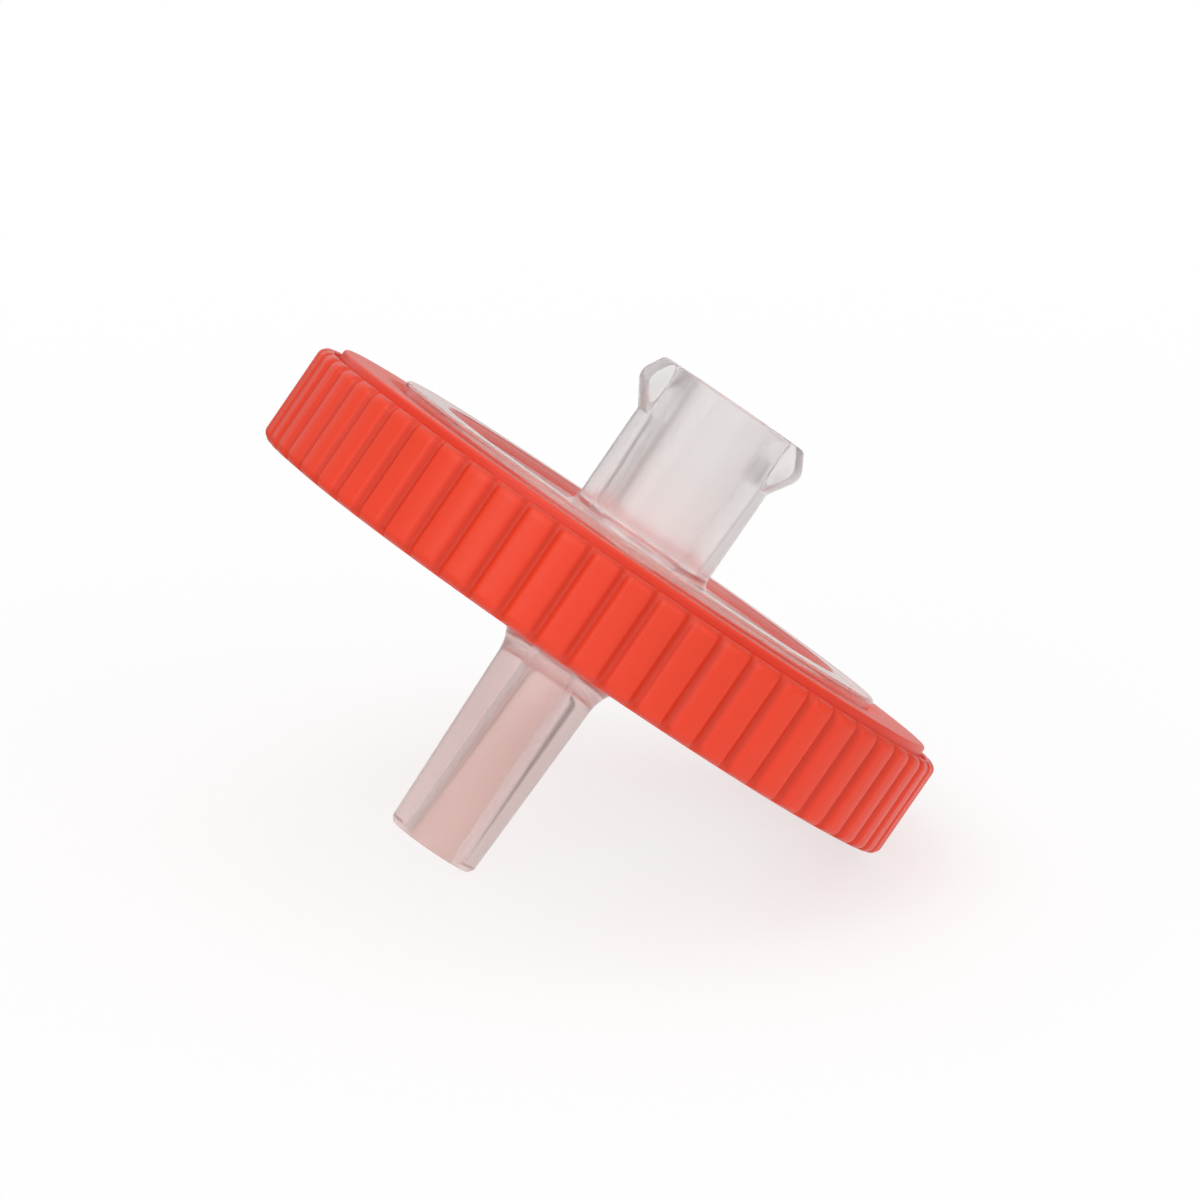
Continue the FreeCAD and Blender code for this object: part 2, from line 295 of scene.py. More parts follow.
def in_chamber(radius, height, start):
    """Whether a ring is part of a chamber's roof or floor, from a start near its funnel outward."""
    across = start < radius < CHAMBER_RADIUS - INSIDE_CHAMBER
    return across and abs(abs(height) - CHAMBER_HEIGHT) < SIDE_SPREAD


def stepped(edge, height):
    """Two rings at this height, one on each side of a step that is made between them."""
    return [Corner(edge - SIDE_SPREAD, height), Corner(edge + SIDE_SPREAD, height)]


# ---- the inlet housing ---------------------------------------------------------------------------

HOLE_RADIUS = 0.75  # from the socket into the chamber
SPOKE_START = 3.3
SPOKE_END = 10.45
SPOKE_HALF_WIDTH = 0.25
SPOKE_DEPTH = 0.3  # from the chamber's roof down to the spokes' lower faces
SOCKET_TOP = 9.75
SOCKET_FLOOR = 2.25
SOCKET_MOUTH_RADIUS = 2.15
SOCKET_FLOOR_RADIUS = 1.925
BARREL_ROOT = 0.6  # radius at the socket's foot
BARREL_ROOT_END = 0.9  # from the socket's wall out to a ring just past that radius
BARREL_ROW = 5.0  # height of a ring part way up the socket
LUG_FOOT = SOCKET_TOP - 2.35  # height from which a lug rises out of the socket
LUG_ROWS_FOOT = LUG_FOOT - 0.05  # lowest of the rings that carry the lugs
LUG_ROWS = 41
LUG_ROW_PITCH = 0.055
LUG_ZONE_FOOT = 7.0  # rings above this height may bulge into the lugs
LUG_ZONE_INSIDE = 2.3  # and of these the ones outside this radius
LUG_ZONE_RISE = 2.4  # radius from which the bulge sets in
LUG_SIDE_OUTSIDE = 0.12  # how far a lug's side runs out past its angle
LUG_SIDE_INSIDE = 0.22  # and how far in from it the side begins to fall
LUG_CROWN = 0.25  # how far a lug stands out at the mouth
LUG_DROP = 0.85  # from the mouth down to the lug's crest
LUG_CREST_FOOT = 1.2  # from the mouth down to the crest's lower end


def soft_least(first, second, softness):
    """The smaller of two values, blended where they are nearly equal."""
    gap = max(softness - abs(first - second), 0.0)
    return min(first, second) - gap * gap / (4 * softness)


def lug_reach(height, housing):
    """How far a lug stands out of the socket at this height, its crest rounded."""
    crest = (housing.lug_span - housing.barrel_diameter) / MM / 2
    rising = (height - LUG_FOOT) * crest / (SOCKET_TOP - LUG_CREST_FOOT - LUG_FOOT)
    falling = LUG_CROWN + (SOCKET_TOP - height) * (crest - LUG_CROWN) / LUG_DROP
    slopes = soft_least(rising, falling, softness=0.15)
    reach = soft_least(slopes, crest, softness=0.1)
    return max(reach, 0.0)


def inlet_section(housing):
    barrel = housing.barrel_diameter / MM / 2
    recess = housing.inlet_recess / MM
    border = housing.inlet_border / MM
    lug_rows = [LUG_ROWS_FOOT + LUG_ROW_PITCH * step for step in range(LUG_ROWS)]
    return [
        Corner(HOLE_RADIUS, FUNNEL_HEIGHT, 0.08),
        Corner(FUNNEL_RADIUS, CHAMBER_HEIGHT, 0.2),
        *stepped(SPOKE_START, CHAMBER_HEIGHT),
        *stepped(SPOKE_END, CHAMBER_HEIGHT),
        Corner(CHAMBER_RADIUS, CHAMBER_HEIGHT, 0.05),
        Corner(CHAMBER_RADIUS, MEMBRANE_HALF - BOND),
        Corner(MEMBRANE_RADIUS, MEMBRANE_HALF - BOND),
        Corner(MEMBRANE_RADIUS, SLIM_GAP),
        Corner(FLANGE_RADIUS, SLIM_GAP),
        Corner(FLANGE_RADIUS, FLANGE_HEIGHT),
        Corner(WINDOW_RADIUS, FLANGE_HEIGHT),
        Corner(WINDOW_RADIUS, border, 0.18),
        Corner(RECESS_RADIUS, border, 0.07),
        Corner(RECESS_RADIUS - RECESS_DRAFT, recess, 0.07),
        Corner(barrel + BARREL_ROOT_END, recess),
        Corner(barrel, recess, BARREL_ROOT),
        Corner(barrel, BARREL_ROW),
        *[Corner(barrel, height) for height in lug_rows],
        Corner(barrel, SOCKET_TOP, 0.14),
        Corner(SOCKET_MOUTH_RADIUS, SOCKET_TOP, 0.16),
        Corner(SOCKET_FLOOR_RADIUS, SOCKET_FLOOR, 0.12),
        Corner(HOLE_RADIUS, SOCKET_FLOOR, 0.1),
    ]


def inlet_housing_mesh(housing):
    """The inlet side: a recessed window, the socket with its two lugs, and the spokes inside."""
    barrel = housing.barrel_diameter / MM / 2
    half_lug = housing.lug_angle / 2
    spokes = housing.spoke_count
    loops = []
    for radius, height in rounded_section(inlet_section(housing)):
        roof = in_chamber(radius, height, FUNNEL_RADIUS)
        half_width = SPOKE_HALF_WIDTH if roof else 0
        has_spokes = roof and SPOKE_START < radius < SPOKE_END
        reach = 0.0
        if height > LUG_ZONE_FOOT and radius > LUG_ZONE_INSIDE:
            reach = lug_reach(height, housing) * ramp(radius, LUG_ZONE_RISE, barrel)
        loop = []
        for index in range(COLUMNS):
            angle = spoke_angle(index, spokes, half_width, radius)
            off_lug = abs((angle + FULL_TURN / 4) % (FULL_TURN / 2) - FULL_TURN / 4)
            past_side = (off_lug - half_lug) * radius
            lug = 1 - ramp(past_side, -LUG_SIDE_INSIDE, LUG_SIDE_OUTSIDE)
            drop = SPOKE_DEPTH if has_spokes and on_spoke(index, spokes) else 0.0
            loop.append(polar(radius + reach * lug, angle, height - drop))
        loops.append(loop)
    return turned_mesh("inlet_housing_moulded", loops)


# ---- the outlet housing --------------------------------------------------------------------------

RIDGE_START = 3.4  # inner radius of the first ridge
RIDGE_PITCH = 2.0
RIDGE_WIDTH = 0.6
RIDGE_COUNT = 4
RIDGE_STARTS = [RIDGE_START + RIDGE_PITCH * step for step in range(RIDGE_COUNT)]
RIDGES = [(inner, inner + RIDGE_WIDTH) for inner in RIDGE_STARTS]
RIDGE_HEIGHT = CHAMBER_HEIGHT - MEMBRANE_HALF - SLIM_GAP
RIDGED_FROM = 3.2  # radius just inside the first ridge
CHANNEL_HALF_WIDTH = 0.45
TIP_END = 12.3
TIP_BEVEL = 0.2  # height of the bevel on the tip's rim
TIP_BEVEL_WIDTH = 0.17
TIP_TAPER = 0.03  # rise of the tip's radius for each millimetre from its end
TIP_ROOT = 2.0  # radius at the tip's foot
TIP_ROOT_END = 0.4  # from that radius out to a ring just past it
TIP_ROW = 8.0  # depth of a ring part way down the tip
LUMEN_RADIUS = 0.85
LUMEN_MOUTH_RADIUS = 1.05


def outlet_section(housing):
    tip = housing.tip_diameter / MM / 2
    recess = housing.outlet_recess / MM
    border = housing.outlet_border / MM
    bevel_top = TIP_END - TIP_BEVEL
    foot = tip + TIP_TAPER * (bevel_top - recess)
    part_way = tip + TIP_TAPER * (bevel_top - TIP_ROW)
    ridges = []
    for inner, outer in RIDGES:
        ridges += stepped(inner, -CHAMBER_HEIGHT) + stepped(outer, -CHAMBER_HEIGHT)
    return [
        Corner(LUMEN_RADIUS, -FUNNEL_HEIGHT, 0.08),
        Corner(FUNNEL_RADIUS, -CHAMBER_HEIGHT, 0.1),
        *ridges,
        Corner(CHAMBER_RADIUS, -CHAMBER_HEIGHT, 0.05),
        Corner(CHAMBER_RADIUS, BOND - MEMBRANE_HALF),
        Corner(MEMBRANE_RADIUS, BOND - MEMBRANE_HALF),
        Corner(MEMBRANE_RADIUS, -SLIM_GAP),
        Corner(FLANGE_RADIUS, -SLIM_GAP),
        Corner(FLANGE_RADIUS, -FLANGE_HEIGHT),
        Corner(WINDOW_RADIUS, -FLANGE_HEIGHT),
        Corner(WINDOW_RADIUS, -border, 0.18),
        Corner(RECESS_RADIUS, -border, 0.06),
        Corner(RECESS_RADIUS - RECESS_DRAFT, -recess, 0.06),
        Corner(foot + TIP_ROOT + TIP_ROOT_END, -recess),
        Corner(foot, -recess, TIP_ROOT),
        Corner(part_way, -TIP_ROW),
        Corner(tip, -bevel_top, 0.12),
        Corner(tip - TIP_BEVEL_WIDTH, -TIP_END, 0.08),
        Corner(LUMEN_MOUTH_RADIUS, -TIP_END, 0.1),
    ]


def outlet_housing_mesh(housing):
    """The outlet side: a recessed window, the tapered tip, and the ridges under the membrane."""
    channels = housing.channel_count
    loops = []
    for radius, height in rounded_section(outlet_section(housing)):
        floor = in_chamber(radius, height, RIDGED_FROM)
        half_width = CHANNEL_HALF_WIDTH if floor else 0
        on_ridge = floor and any(inner < radius < outer for inner, outer in RIDGES)
        loop = []
        for index in range(COLUMNS):
            angle = spoke_angle(index, channels, half_width, radius)
            rise = RIDGE_HEIGHT if on_ridge and not on_spoke(index, channels) else 0.0
            loop.append(polar(radius, angle, height + rise))
        loops.append(loop)
    return turned_mesh("outlet_housing_moulded", loops)


# ---- the membrane --------------------------------------------------------------------------------

MEMBRANE_COLUMNS = 96
# Radii of its rings of points, closer together towards the rim.
MEMBRANE_RADII = (0.05, 1.0, 3.0, 5.0, 7.0, 9.0, 10.2, 10.7, 11.6, 12.4, 12.46, MEMBRANE_RADIUS)


def membrane_mesh():
    """The membrane: a thin disc with its rim rounded off."""
    angles = [FULL_TURN * step / MEMBRANE_COLUMNS for step in range(MEMBRANE_COLUMNS)]
    mesh = bmesh.new()
    rows = []
    for side, radii in ((1, MEMBRANE_RADII), (-1, reversed(MEMBRANE_RADII))):
        for radius in radii:
            height = side * (MEMBRANE_HALF if radius < MEMBRANE_RADIUS else MEMBRANE_HALF / 2)
            rows.append([mesh.verts.new(polar(radius, angle, height)) for angle in angles])
    for row, following in zip(rows, rows[1:]):
        for index in range(len(row)):
            mesh.faces.new((row[index - 1], row[index], following[index], following[index - 1]))
    for row in (rows[0], rows[-1]):
        mesh.faces.new(row)
    bmesh.ops.recalc_face_normals(mesh, faces=mesh.faces)
    data = bpy.data.meshes.new("membrane_disc")
    mesh.to_mesh(data)
    mesh.free()
    data.shade_smooth()
    return data


# ---- shader node groups --------------------------------------------------------------------------

def start_group(name, inputs, outputs):
    """Begin a node group with these (socket type, name, default) inputs and outputs."""
    group = bpy.data.node_groups.new(name, "ShaderNodeTree")
    for kind, label, default in inputs:
        socket = group.interface.new_socket(label, in_out="INPUT", socket_type=kind)
        socket.default_value = default
    for kind, label in outputs:
        group.interface.new_socket(label, in_out="OUTPUT", socket_type=kind)
    return group, group.nodes.new("NodeGroupInput"), group.nodes.new("NodeGroupOutput")


def add_node(tree, kind, settings=(), **inputs):
    """Add a node, set its properties and its inputs: a value is set, and an output is linked."""
    node = tree.nodes.new(kind)
    for name, value in dict(settings).items():
        setattr(node, name, value)
    for name, value in inputs.items():
        index = int(name[1:]) if name[1:].isdigit() else name.replace("_", " ")
        if isinstance(value, bpy.types.NodeSocket):
            tree.links.new(value, node.inputs[index])
        else:
            node.inputs[index].default_value = value
    return node


def math_node(tree, operation, first, second=0.0, third=0.0):
    node = add_node(tree, "ShaderNodeMath", {"operation": operation}, i0=first, i1=second, i2=third)
    return node.outputs[0]


def mix_colour(tree, share, first, second):
    """Mix two colours: a Mix node takes its colours at inputs 6 and 7, and gives one at output 2."""
    node = add_node(
        tree, "ShaderNodeMix", {"data_type": "RGBA"}, i0=share, i6=first, i7=second
    )
    return node.outputs[2]


def rise_between(tree, value, low, high, bottom=0.0, top=1.0):
    """One value below low, another above high, and a smooth change between them."""
    node = add_node(
        tree,
        "ShaderNodeMapRange",
        {"interpolation_type": "SMOOTHSTEP"},
        Value=value,
        From_Min=low,
        From_Max=high,
        To_Min=bottom,
        To_Max=top,
    )
    return node.outputs["Result"]


def object_place(tree):
    return add_node(tree, "ShaderNodeTexCoord").outputs["Object"]


def own_place(tree):
    """A point's place about the filter's own upright axis."""
    pose = leaning_axis()
    upright = add_node(
        tree,
        "ShaderNodeMapping",
        {"vector_type": "TEXTURE"},
        Vector=object_place(tree),
        Location=pose.to_translation(),
        Rotation=pose.to_euler(),
    )
    return upright.outputs["Vector"]


BROAD_GRAIN = 0.06  # scale of the uneven roughness, as a share of the fine grain's


def make_grain_group():
    """Fine moulded grain: a height for bumps, and roughness that varies with it."""
    group, given, result = start_group(
        "moulded_grain",
        [
            ("NodeSocketFloat", "Grain Size", 0.0002),
            ("NodeSocketFloat", "Roughness", 0.3),
            ("NodeSocketFloat", "Variation", 0.06),
        ],
        [("NodeSocketFloat", "Height"), ("NodeSocketFloat", "Roughness")],
    )
    place = object_place(group)
    scale = math_node(group, "DIVIDE", 1.0, given.outputs["Grain Size"])
    fine = add_node(group, "ShaderNodeTexNoise", Vector=place, Scale=scale, Detail=2.0)
    broad_scale = math_node(group, "MULTIPLY", scale, BROAD_GRAIN)
    broad = add_node(group, "ShaderNodeTexNoise", Vector=place, Scale=broad_scale, Detail=3.0)
    offset = math_node(group, "SUBTRACT", broad.outputs["Fac"], 0.5)
    change = math_node(group, "MULTIPLY", offset, given.outputs["Variation"])
    rough = math_node(group, "ADD", change, given.outputs["Roughness"])
    group.links.new(fine.outputs["Fac"], result.inputs["Height"])
    group.links.new(rough, result.inputs["Roughness"])
    return group


def make_near_ring_group():
    """1 beside the grip ring, falling to 0 at a distance up or down the filter's own axis."""
    group, given, result = start_group(
        "near_the_ring",
        [("NodeSocketFloat", "Near", 0.002), ("NodeSocketFloat", "Far", 0.01)],
        [("NodeSocketFloat", "Mask")],
    )
    height = add_node(group, "ShaderNodeSeparateXYZ", Vector=own_place(group)).outputs["Z"]
    away = math_node(group, "ABSOLUTE", height)
    mask = rise_between(group, away, given.outputs["Near"], given.outputs["Far"], 1.0, 0.0)
    group.links.new(mask, result.inputs["Mask"])
    return group


def make_band_group():
    """1 between two distances from the filter's own axis and 0 outside them, with soft edges."""
    group, given, result = start_group(
        "band_about_axis",
        [
            ("NodeSocketFloat", "Inner", 0.0),
            ("NodeSocketFloat", "Outer", 0.01),
            ("NodeSocketFloat", "Softness", 0.0002),
        ],
        [("NodeSocketFloat", "Mask")],
    )
    parts = add_node(group, "ShaderNodeSeparateXYZ", Vector=own_place(group))
    flat = add_node(group, "ShaderNodeCombineXYZ", X=parts.outputs["X"], Y=parts.outputs["Y"])
    length = add_node(
        group, "ShaderNodeVectorMath", {"operation": "LENGTH"}, i0=flat.outputs["Vector"]
    )
    past = []
    for edge in ("Inner", "Outer"):
        low = math_node(group, "SUBTRACT", given.outputs[edge], given.outputs["Softness"])
        high = math_node(group, "ADD", given.outputs[edge], given.outputs["Softness"])
        past.append(rise_between(group, length.outputs["Value"], low, high))
    past_inner, past_outer = past
    before_outer = math_node(group, "SUBTRACT", 1.0, past_outer)
    mask = math_node(group, "MULTIPLY", past_inner, before_outer)
    group.links.new(mask, result.inputs["Mask"])
    return group


# Radii in millimetres of a band round the filter's own axis, and half the width of its soft edges.
Band = namedtuple("Band", "inner outer softness")
GROOVE_SHADE_BAND = Band(14.85, 15.1, 0.1)  # the floors of the ring's grooves, where shade is painted
BORDER_GLOW_BAND = Band(10.1, 2 * FLANGE_RADIUS, 0.9)  # from a window's border outward, where the ring's red light is painted as a glow
RECESS_SHADE_BAND = Band(RECESS_RADIUS - 0.1, RECESS_RADIUS + 0.08, 0.05)  # the step round the recess, where shade is painted

GROUP_MAKERS = {
    "moulded_grain": make_grain_group,
    "band_about_axis": make_band_group,
    "near_the_ring": make_near_ring_group,
}


def use_group(tree, name, **inputs):
    """Place a shared node group in a material, made the first time it is asked for."""
    group = bpy.data.node_groups.get(name) or GROUP_MAKERS[name]()
    node = tree.nodes.new("ShaderNodeGroup")
    node.node_tree = group
    for label, value in inputs.items():
        node.inputs[label.replace("_", " ")].default_value = value
    return node


def band_share(tree, band, most):
    """A share that is this large inside a band round the axis, and 0 outside it."""
    mask = use_group(
        tree,
        "band_about_axis",
        Inner=band.inner * MM,
        Outer=band.outer * MM,
        Softness=band.softness * MM,
    )
    return math_node(tree, "MULTIPLY", mask.outputs["Mask"], most)


# ---- materials -----------------------------------------------------------------------------------

def opaque(colour):
    """A setting's colour with the alpha that a shader's socket wants."""
    return tuple(colour) + (1.0,)


def shade(colour, factor):
    """A colour made darker or lighter by a factor."""
    return opaque(min(part * factor, 1.0) for part in colour[:3])


def start_material(name):
    """A new material, its empty node tree and the output in it."""
    material = bpy.data.materials.new(name)
    material.use_nodes = True
    tree = material.node_tree
    tree.nodes.clear()
    return material, tree, tree.nodes.new("ShaderNodeOutputMaterial")


def add_principled(tree, output, **inputs):
    """Add the material's Principled shader and set its inputs."""
    shader = add_node(tree, "ShaderNodeBsdfPrincipled", **inputs)
    tree.links.new(shader.outputs["BSDF"], output.inputs["Surface"])
    return shader


def add_grain(tree, shader, size, roughness, variation, strength, depth=0.01 * MM):
    """Give a shader the shared moulded grain."""
    grain = use_group(
        tree, "moulded_grain", Grain_Size=size, Roughness=roughness, Variation=variation
    )
    bump = add_node(
        tree,
        "ShaderNodeBump",
        Strength=strength,
        Distance=depth,
        Height=grain.outputs["Height"],
    )
    tree.links.new(bump.outputs["Normal"], shader.inputs["Normal"])
    tree.links.new(grain.outputs["Roughness"], shader.inputs["Roughness"])


def red_plastic(finish):
    """Satin red moulded plastic with painted shade in its grooves, and faint flow marks."""
    material, tree, output = start_material("red_moulded_plastic")
    colour = opaque(finish.ring_colour)
    flow = add_node(
        tree, "ShaderNodeTexNoise", Vector=object_place(tree), Scale=160.0, Detail=3.0
    )
    patchy = mix_colour(tree, flow.outputs["Fac"], shade(colour, 0.93), shade(colour, 1.07))
    # painted shade: the red is darkened on the grooves' floors
    groove_shade_share = band_share(tree, GROOVE_SHADE_BAND, 0.3)
    shader = add_principled(
        tree,
        output,
        Base_Color=mix_colour(tree, groove_shade_share, patchy, shade(colour, 0.5)),
        IOR=1.49,
        Specular_IOR_Level=0.4,
        Subsurface_Weight=0.05,
        Subsurface_Radius=(1.1 * MM, 0.3 * MM, 0.2 * MM),
        Subsurface_Scale=1.0,
    )
    add_grain(tree, shader, size=0.16 * MM, roughness=0.34, variation=0.10, strength=0.25)
    return material


def clear_plastic(name, finish, port_tint_and_glow, window_colour_and_glow):
    """Milky natural polypropylene that lets light through, with the ring's red light painted in as a
    pink glow near it.
    """
    material, tree, output = start_material(name)
    window_tint_and_glow = opaque(window_colour_and_glow)
    # Beside the ring the plastic takes the window's tint, whose pink is painted red light from the
    # ring; away from it, the port's tint.
    beside = use_group(tree, "near_the_ring", Near=3.0 * MM, Far=7.0 * MM)
    tint_and_red_glow = mix_colour(tree, beside.outputs["Mask"], opaque(port_tint_and_glow), window_tint_and_glow)
    cloud = add_node(
        tree, "ShaderNodeTexNoise", Vector=object_place(tree), Scale=220.0, Detail=4.0
    )
    cloud_share = math_node(tree, "MULTIPLY", cloud.outputs["Fac"], 0.06)
    clouded_tint_and_glow = mix_colour(tree, cloud_share, tint_and_red_glow, WHITE)
    # painted light: the ring's red glow through the plastic, painted round the window's border
    edge_glow_share = band_share(tree, BORDER_GLOW_BAND, 0.8)
    with_edge_glow = mix_colour(tree, edge_glow_share, clouded_tint_and_glow, opaque(finish.edge_red_glow))
    # painted shade: a dark line on the step round the window's recess
    recess_shade_share = band_share(tree, RECESS_SHADE_BAND, 0.8)
    shader = add_principled(
        tree,
        output,
        Base_Color=mix_colour(tree, recess_shade_share, with_edge_glow, opaque(finish.recess_shade_line)),
        IOR=1.38,
        Transmission_Weight=finish.clearness,
        Subsurface_Weight=0.2,
        Subsurface_Radius=(1.5 * MM, 1.2 * MM, 1.1 * MM),
        Subsurface_Scale=1.0,
    )
    add_grain(tree, shader, size=0.3 * MM, roughness=0.14, variation=0.05, strength=0.05)
    let_light_in(tree, shader, output, window_tint_and_glow)
    return material


def let_light_in(tree, shader, output, colour):
    """Let rays from the lamps pass, so that what is behind the plastic is lit through it."""
    passing = add_node(tree, "ShaderNodeBsdfTransparent", Color=colour)
    path = add_node(tree, "ShaderNodeLightPath")
    mixed = add_node(
        tree,
        "ShaderNodeMixShader",
        i0=path.outputs["Is Shadow Ray"],
        i1=shader.outputs["BSDF"],
        i2=passing.outputs["BSDF"],
    )
    tree.links.new(mixed.outputs["Shader"], output.inputs["Surface"])


def membrane_material(finish):
    """White porous membrane, matte and faintly mottled."""
    material, tree, output = start_material("membrane_white")
    # white, with a faint pink that is painted red light from the ring
    colour = opaque(finish.membrane_white_and_glow)
    mottle = add_node(
        tree, "ShaderNodeTexNoise", Vector=object_place(tree), Scale=900.0, Detail=5.0
    )
    mottled = mix_colour(
        tree, mottle.outputs["Fac"], shade(colour, 0.94), shade(colour, 1.05)
    )
    shader = add_principled(tree, output, Base_Color=mottled, Specular_IOR_Level=0.2)
    add_grain(
        tree,
        shader,
        size=0.09 * MM,
        roughness=0.85,
        variation=0.08,
        strength=0.6,
        depth=0.02 * MM,
    )
    return material


# ---- the stage -----------------------------------------------------------------------------------

CAMERA_AZIMUTH = -21.3  # degrees
CAMERA_ELEVATION = 18.5
CAMERA_LENS = 220.0  # millimetres, as its sensor's width is
SENSOR_WIDTH = 36.0


def direction(azimuth, elevation):
    """Unit vector towards a viewer or a lamp at these angles in degrees."""
    turn, rise = math.radians(azimuth), math.radians(elevation)
    return Vector(
        (math.sin(turn) * math.cos(rise), -math.cos(turn) * math.cos(rise), math.sin(rise))
    )


def mix_value(tree, share, first, second):
    """The first value where the share is 0, and the second where it is 1."""
    rise = math_node(tree, "SUBTRACT", second, first)
    return math_node(tree, "MULTIPLY_ADD", share, rise, first)


def passed_on(tree):
    """1 for rays that a reflection or the clear plastic sends on."""
    path = add_node(tree, "ShaderNodeLightPath")
    return math_node(
        tree, "MAXIMUM", path.outputs["Is Glossy Ray"], path.outputs["Is Transmission Ray"]
    )


def sideways(tree, place):
    """How far a place or a direction lies to one side of the stage."""
    dot = add_node(
        tree,
        "ShaderNodeVectorMath",
        {"operation": "DOT_PRODUCT"},
        i0=place,
        i1=direction(CAMERA_AZIMUTH + 90, 0),
    )
    return dot.outputs["Value"]


def make_world(scene, stage):
    """White all round, and a little dimmer to both sides in what the plastic mirrors and bends."""
    world = bpy.data.worlds.new("studio_air")
    world.use_nodes = True
    tree = world.node_tree
    background = tree.nodes["Background"]
    outward = add_node(tree, "ShaderNodeTexCoord").outputs["Generated"]
    side = sideways(tree, outward)
    square = math_node(tree, "MULTIPLY", side, side)
    mirrored = mix_value(tree, square, stage.seen_light, stage.seen_light - stage.side_shade)
    lighting = mix_value(tree, passed_on(tree), stage.air_light, mirrored)
    from_camera = add_node(tree, "ShaderNodeLightPath").outputs["Is Camera Ray"]
    tree.links.new(mix_value(tree, from_camera, lighting, 1.0), background.inputs["Strength"])
    background.inputs["Color"].default_value = WHITE
    scene.world = world


# Metres on the floor from the middle of the stage.
FLOOR_RADIUS = 1.5
SHADOW_END = 0.02  # up to here the floor keeps its shadow
WHITE_START = 0.1  # and from here on it is plain white
SHADE_START = 0.008  # where it begins to grow dimmer to a side in what the plastic bends
SHADE_END = 0.045  # and where it has come to its dimmest
FLOOR_DROP = 0.02 * MM  # how far it lies under the filter, so that their faces don't coincide


def floor_material(stage):
    """Pale floor that keeps the filter's shadow and fades into the white behind it.

    What the plastic mirrors and bends of it is a little dimmer to both sides, as the air is.
    """
    material, tree, output = start_material("pale_floor")
    place = object_place(tree)
    length = add_node(tree, "ShaderNodeVectorMath", {"operation": "LENGTH"}, i0=place)
    whiteness = rise_between(
        tree, length.outputs["Value"], SHADOW_END, WHITE_START, stage.shadow_veil
    )
    from_camera = add_node(tree, "ShaderNodeLightPath").outputs["Is Camera Ray"]
    seen = math_node(tree, "MAXIMUM", from_camera, passed_on(tree))
    share = math_node(tree, "MULTIPLY", whiteness, seen)
    lit = add_node(tree, "ShaderNodeBsdfDiffuse", Color=opaque(stage.floor_colour))
    aside = math_node(tree, "ABSOLUTE", sideways(tree, place))
    shaded = stage.seen_light - stage.side_shade
    dimmed = rise_between(tree, aside, SHADE_START, SHADE_END, stage.seen_light, shaded)
    level = mix_value(tree, from_camera, dimmed, 1.0)
    white = add_node(tree, "ShaderNodeEmission", Strength=level)
    mixed = add_node(
        tree, "ShaderNodeMixShader", i0=share, i1=lit.outputs["BSDF"], i2=white.outputs["Emission"]
    )
    tree.links.new(mixed.outputs["Shader"], output.inputs["Surface"])
    return material


def make_floor(scene, stage):
    """A wide round floor under the filter, which is part of the stage and not of the filter."""
    mesh = bmesh.new()
    bmesh.ops.create_circle(mesh, cap_ends=True, segments=96, radius=FLOOR_RADIUS)
    data = bpy.data.meshes.new("bench_floor")
    mesh.to_mesh(data)
    mesh.free()
    floor = bpy.data.objects.new("bench_floor", data)
    floor.location.z = -FLOOR_DROP
    scene.collection.objects.link(floor)
    data.materials.append(floor_material(stage))
    floor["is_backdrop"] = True


def aim(thing, place, target):
    """Stand a lamp or a camera at a place, facing the target."""
    thing.location = place
    thing.rotation_euler = (target - place).to_track_quat("-Z", "Y").to_euler()


# Angles in degrees, lengths in metres, and the share of the lamp light that reaches the filter.
Softbox = namedtuple("Softbox", "name azimuth elevation distance width share")
SOFTBOXES = [
    Softbox("key_softbox", azimuth=-52.0, elevation=48.0, distance=0.5, width=0.34, share=1.0),
    Softbox("fill_softbox", azimuth=22.0, elevation=30.0, distance=0.6, width=0.5, share=0.55),
    Softbox("top_softbox", azimuth=-20.0, elevation=82.0, distance=0.5, width=0.4, share=0.6),
]


def make_lamps(scene, stage, target):
    """Round softboxes that face the filter."""
    for box in SOFTBOXES:
        lamp = bpy.data.lights.new(box.name, "AREA")
        lamp.shape = "DISK"
        lamp.size = box.width
        lamp.energy = stage.lamp_light * box.share * box.distance ** 2
        holder = bpy.data.objects.new(box.name, lamp)
        scene.collection.objects.link(holder)
        aim(holder, target + direction(box.azimuth, box.elevation) * box.distance, target)


def make_camera(scene, stage, target, span):
    """A long lens, far enough off for the filter to fill its share of the view."""
    camera = bpy.data.cameras.new("bench_camera")
    camera.lens = CAMERA_LENS
    camera.sensor_width = SENSOR_WIDTH
    camera.clip_start, camera.clip_end = 0.01, 10.0
    holder = bpy.data.objects.new("bench_camera", camera)
    scene.collection.objects.link(holder)
    distance = span / stage.fill * CAMERA_LENS / SENSOR_WIDTH
    aim(holder, target + direction(CAMERA_AZIMUTH, CAMERA_ELEVATION) * distance, target)
    scene.camera = holder


# ---- settings ------------------------------------------------------------------------------------

RING_LOW, RING_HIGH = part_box("grip_ring")


def length_property(name, description, default):
    return bpy.props.FloatProperty(
        name=name, description=description, default=default, unit="LENGTH", precision=5, min=0.0
    )


def colour_property(name, description, default):
    return bpy.props.FloatVectorProperty(
        name=name, description=description, default=default, subtype="COLOR", min=0.0, max=1.0
    )


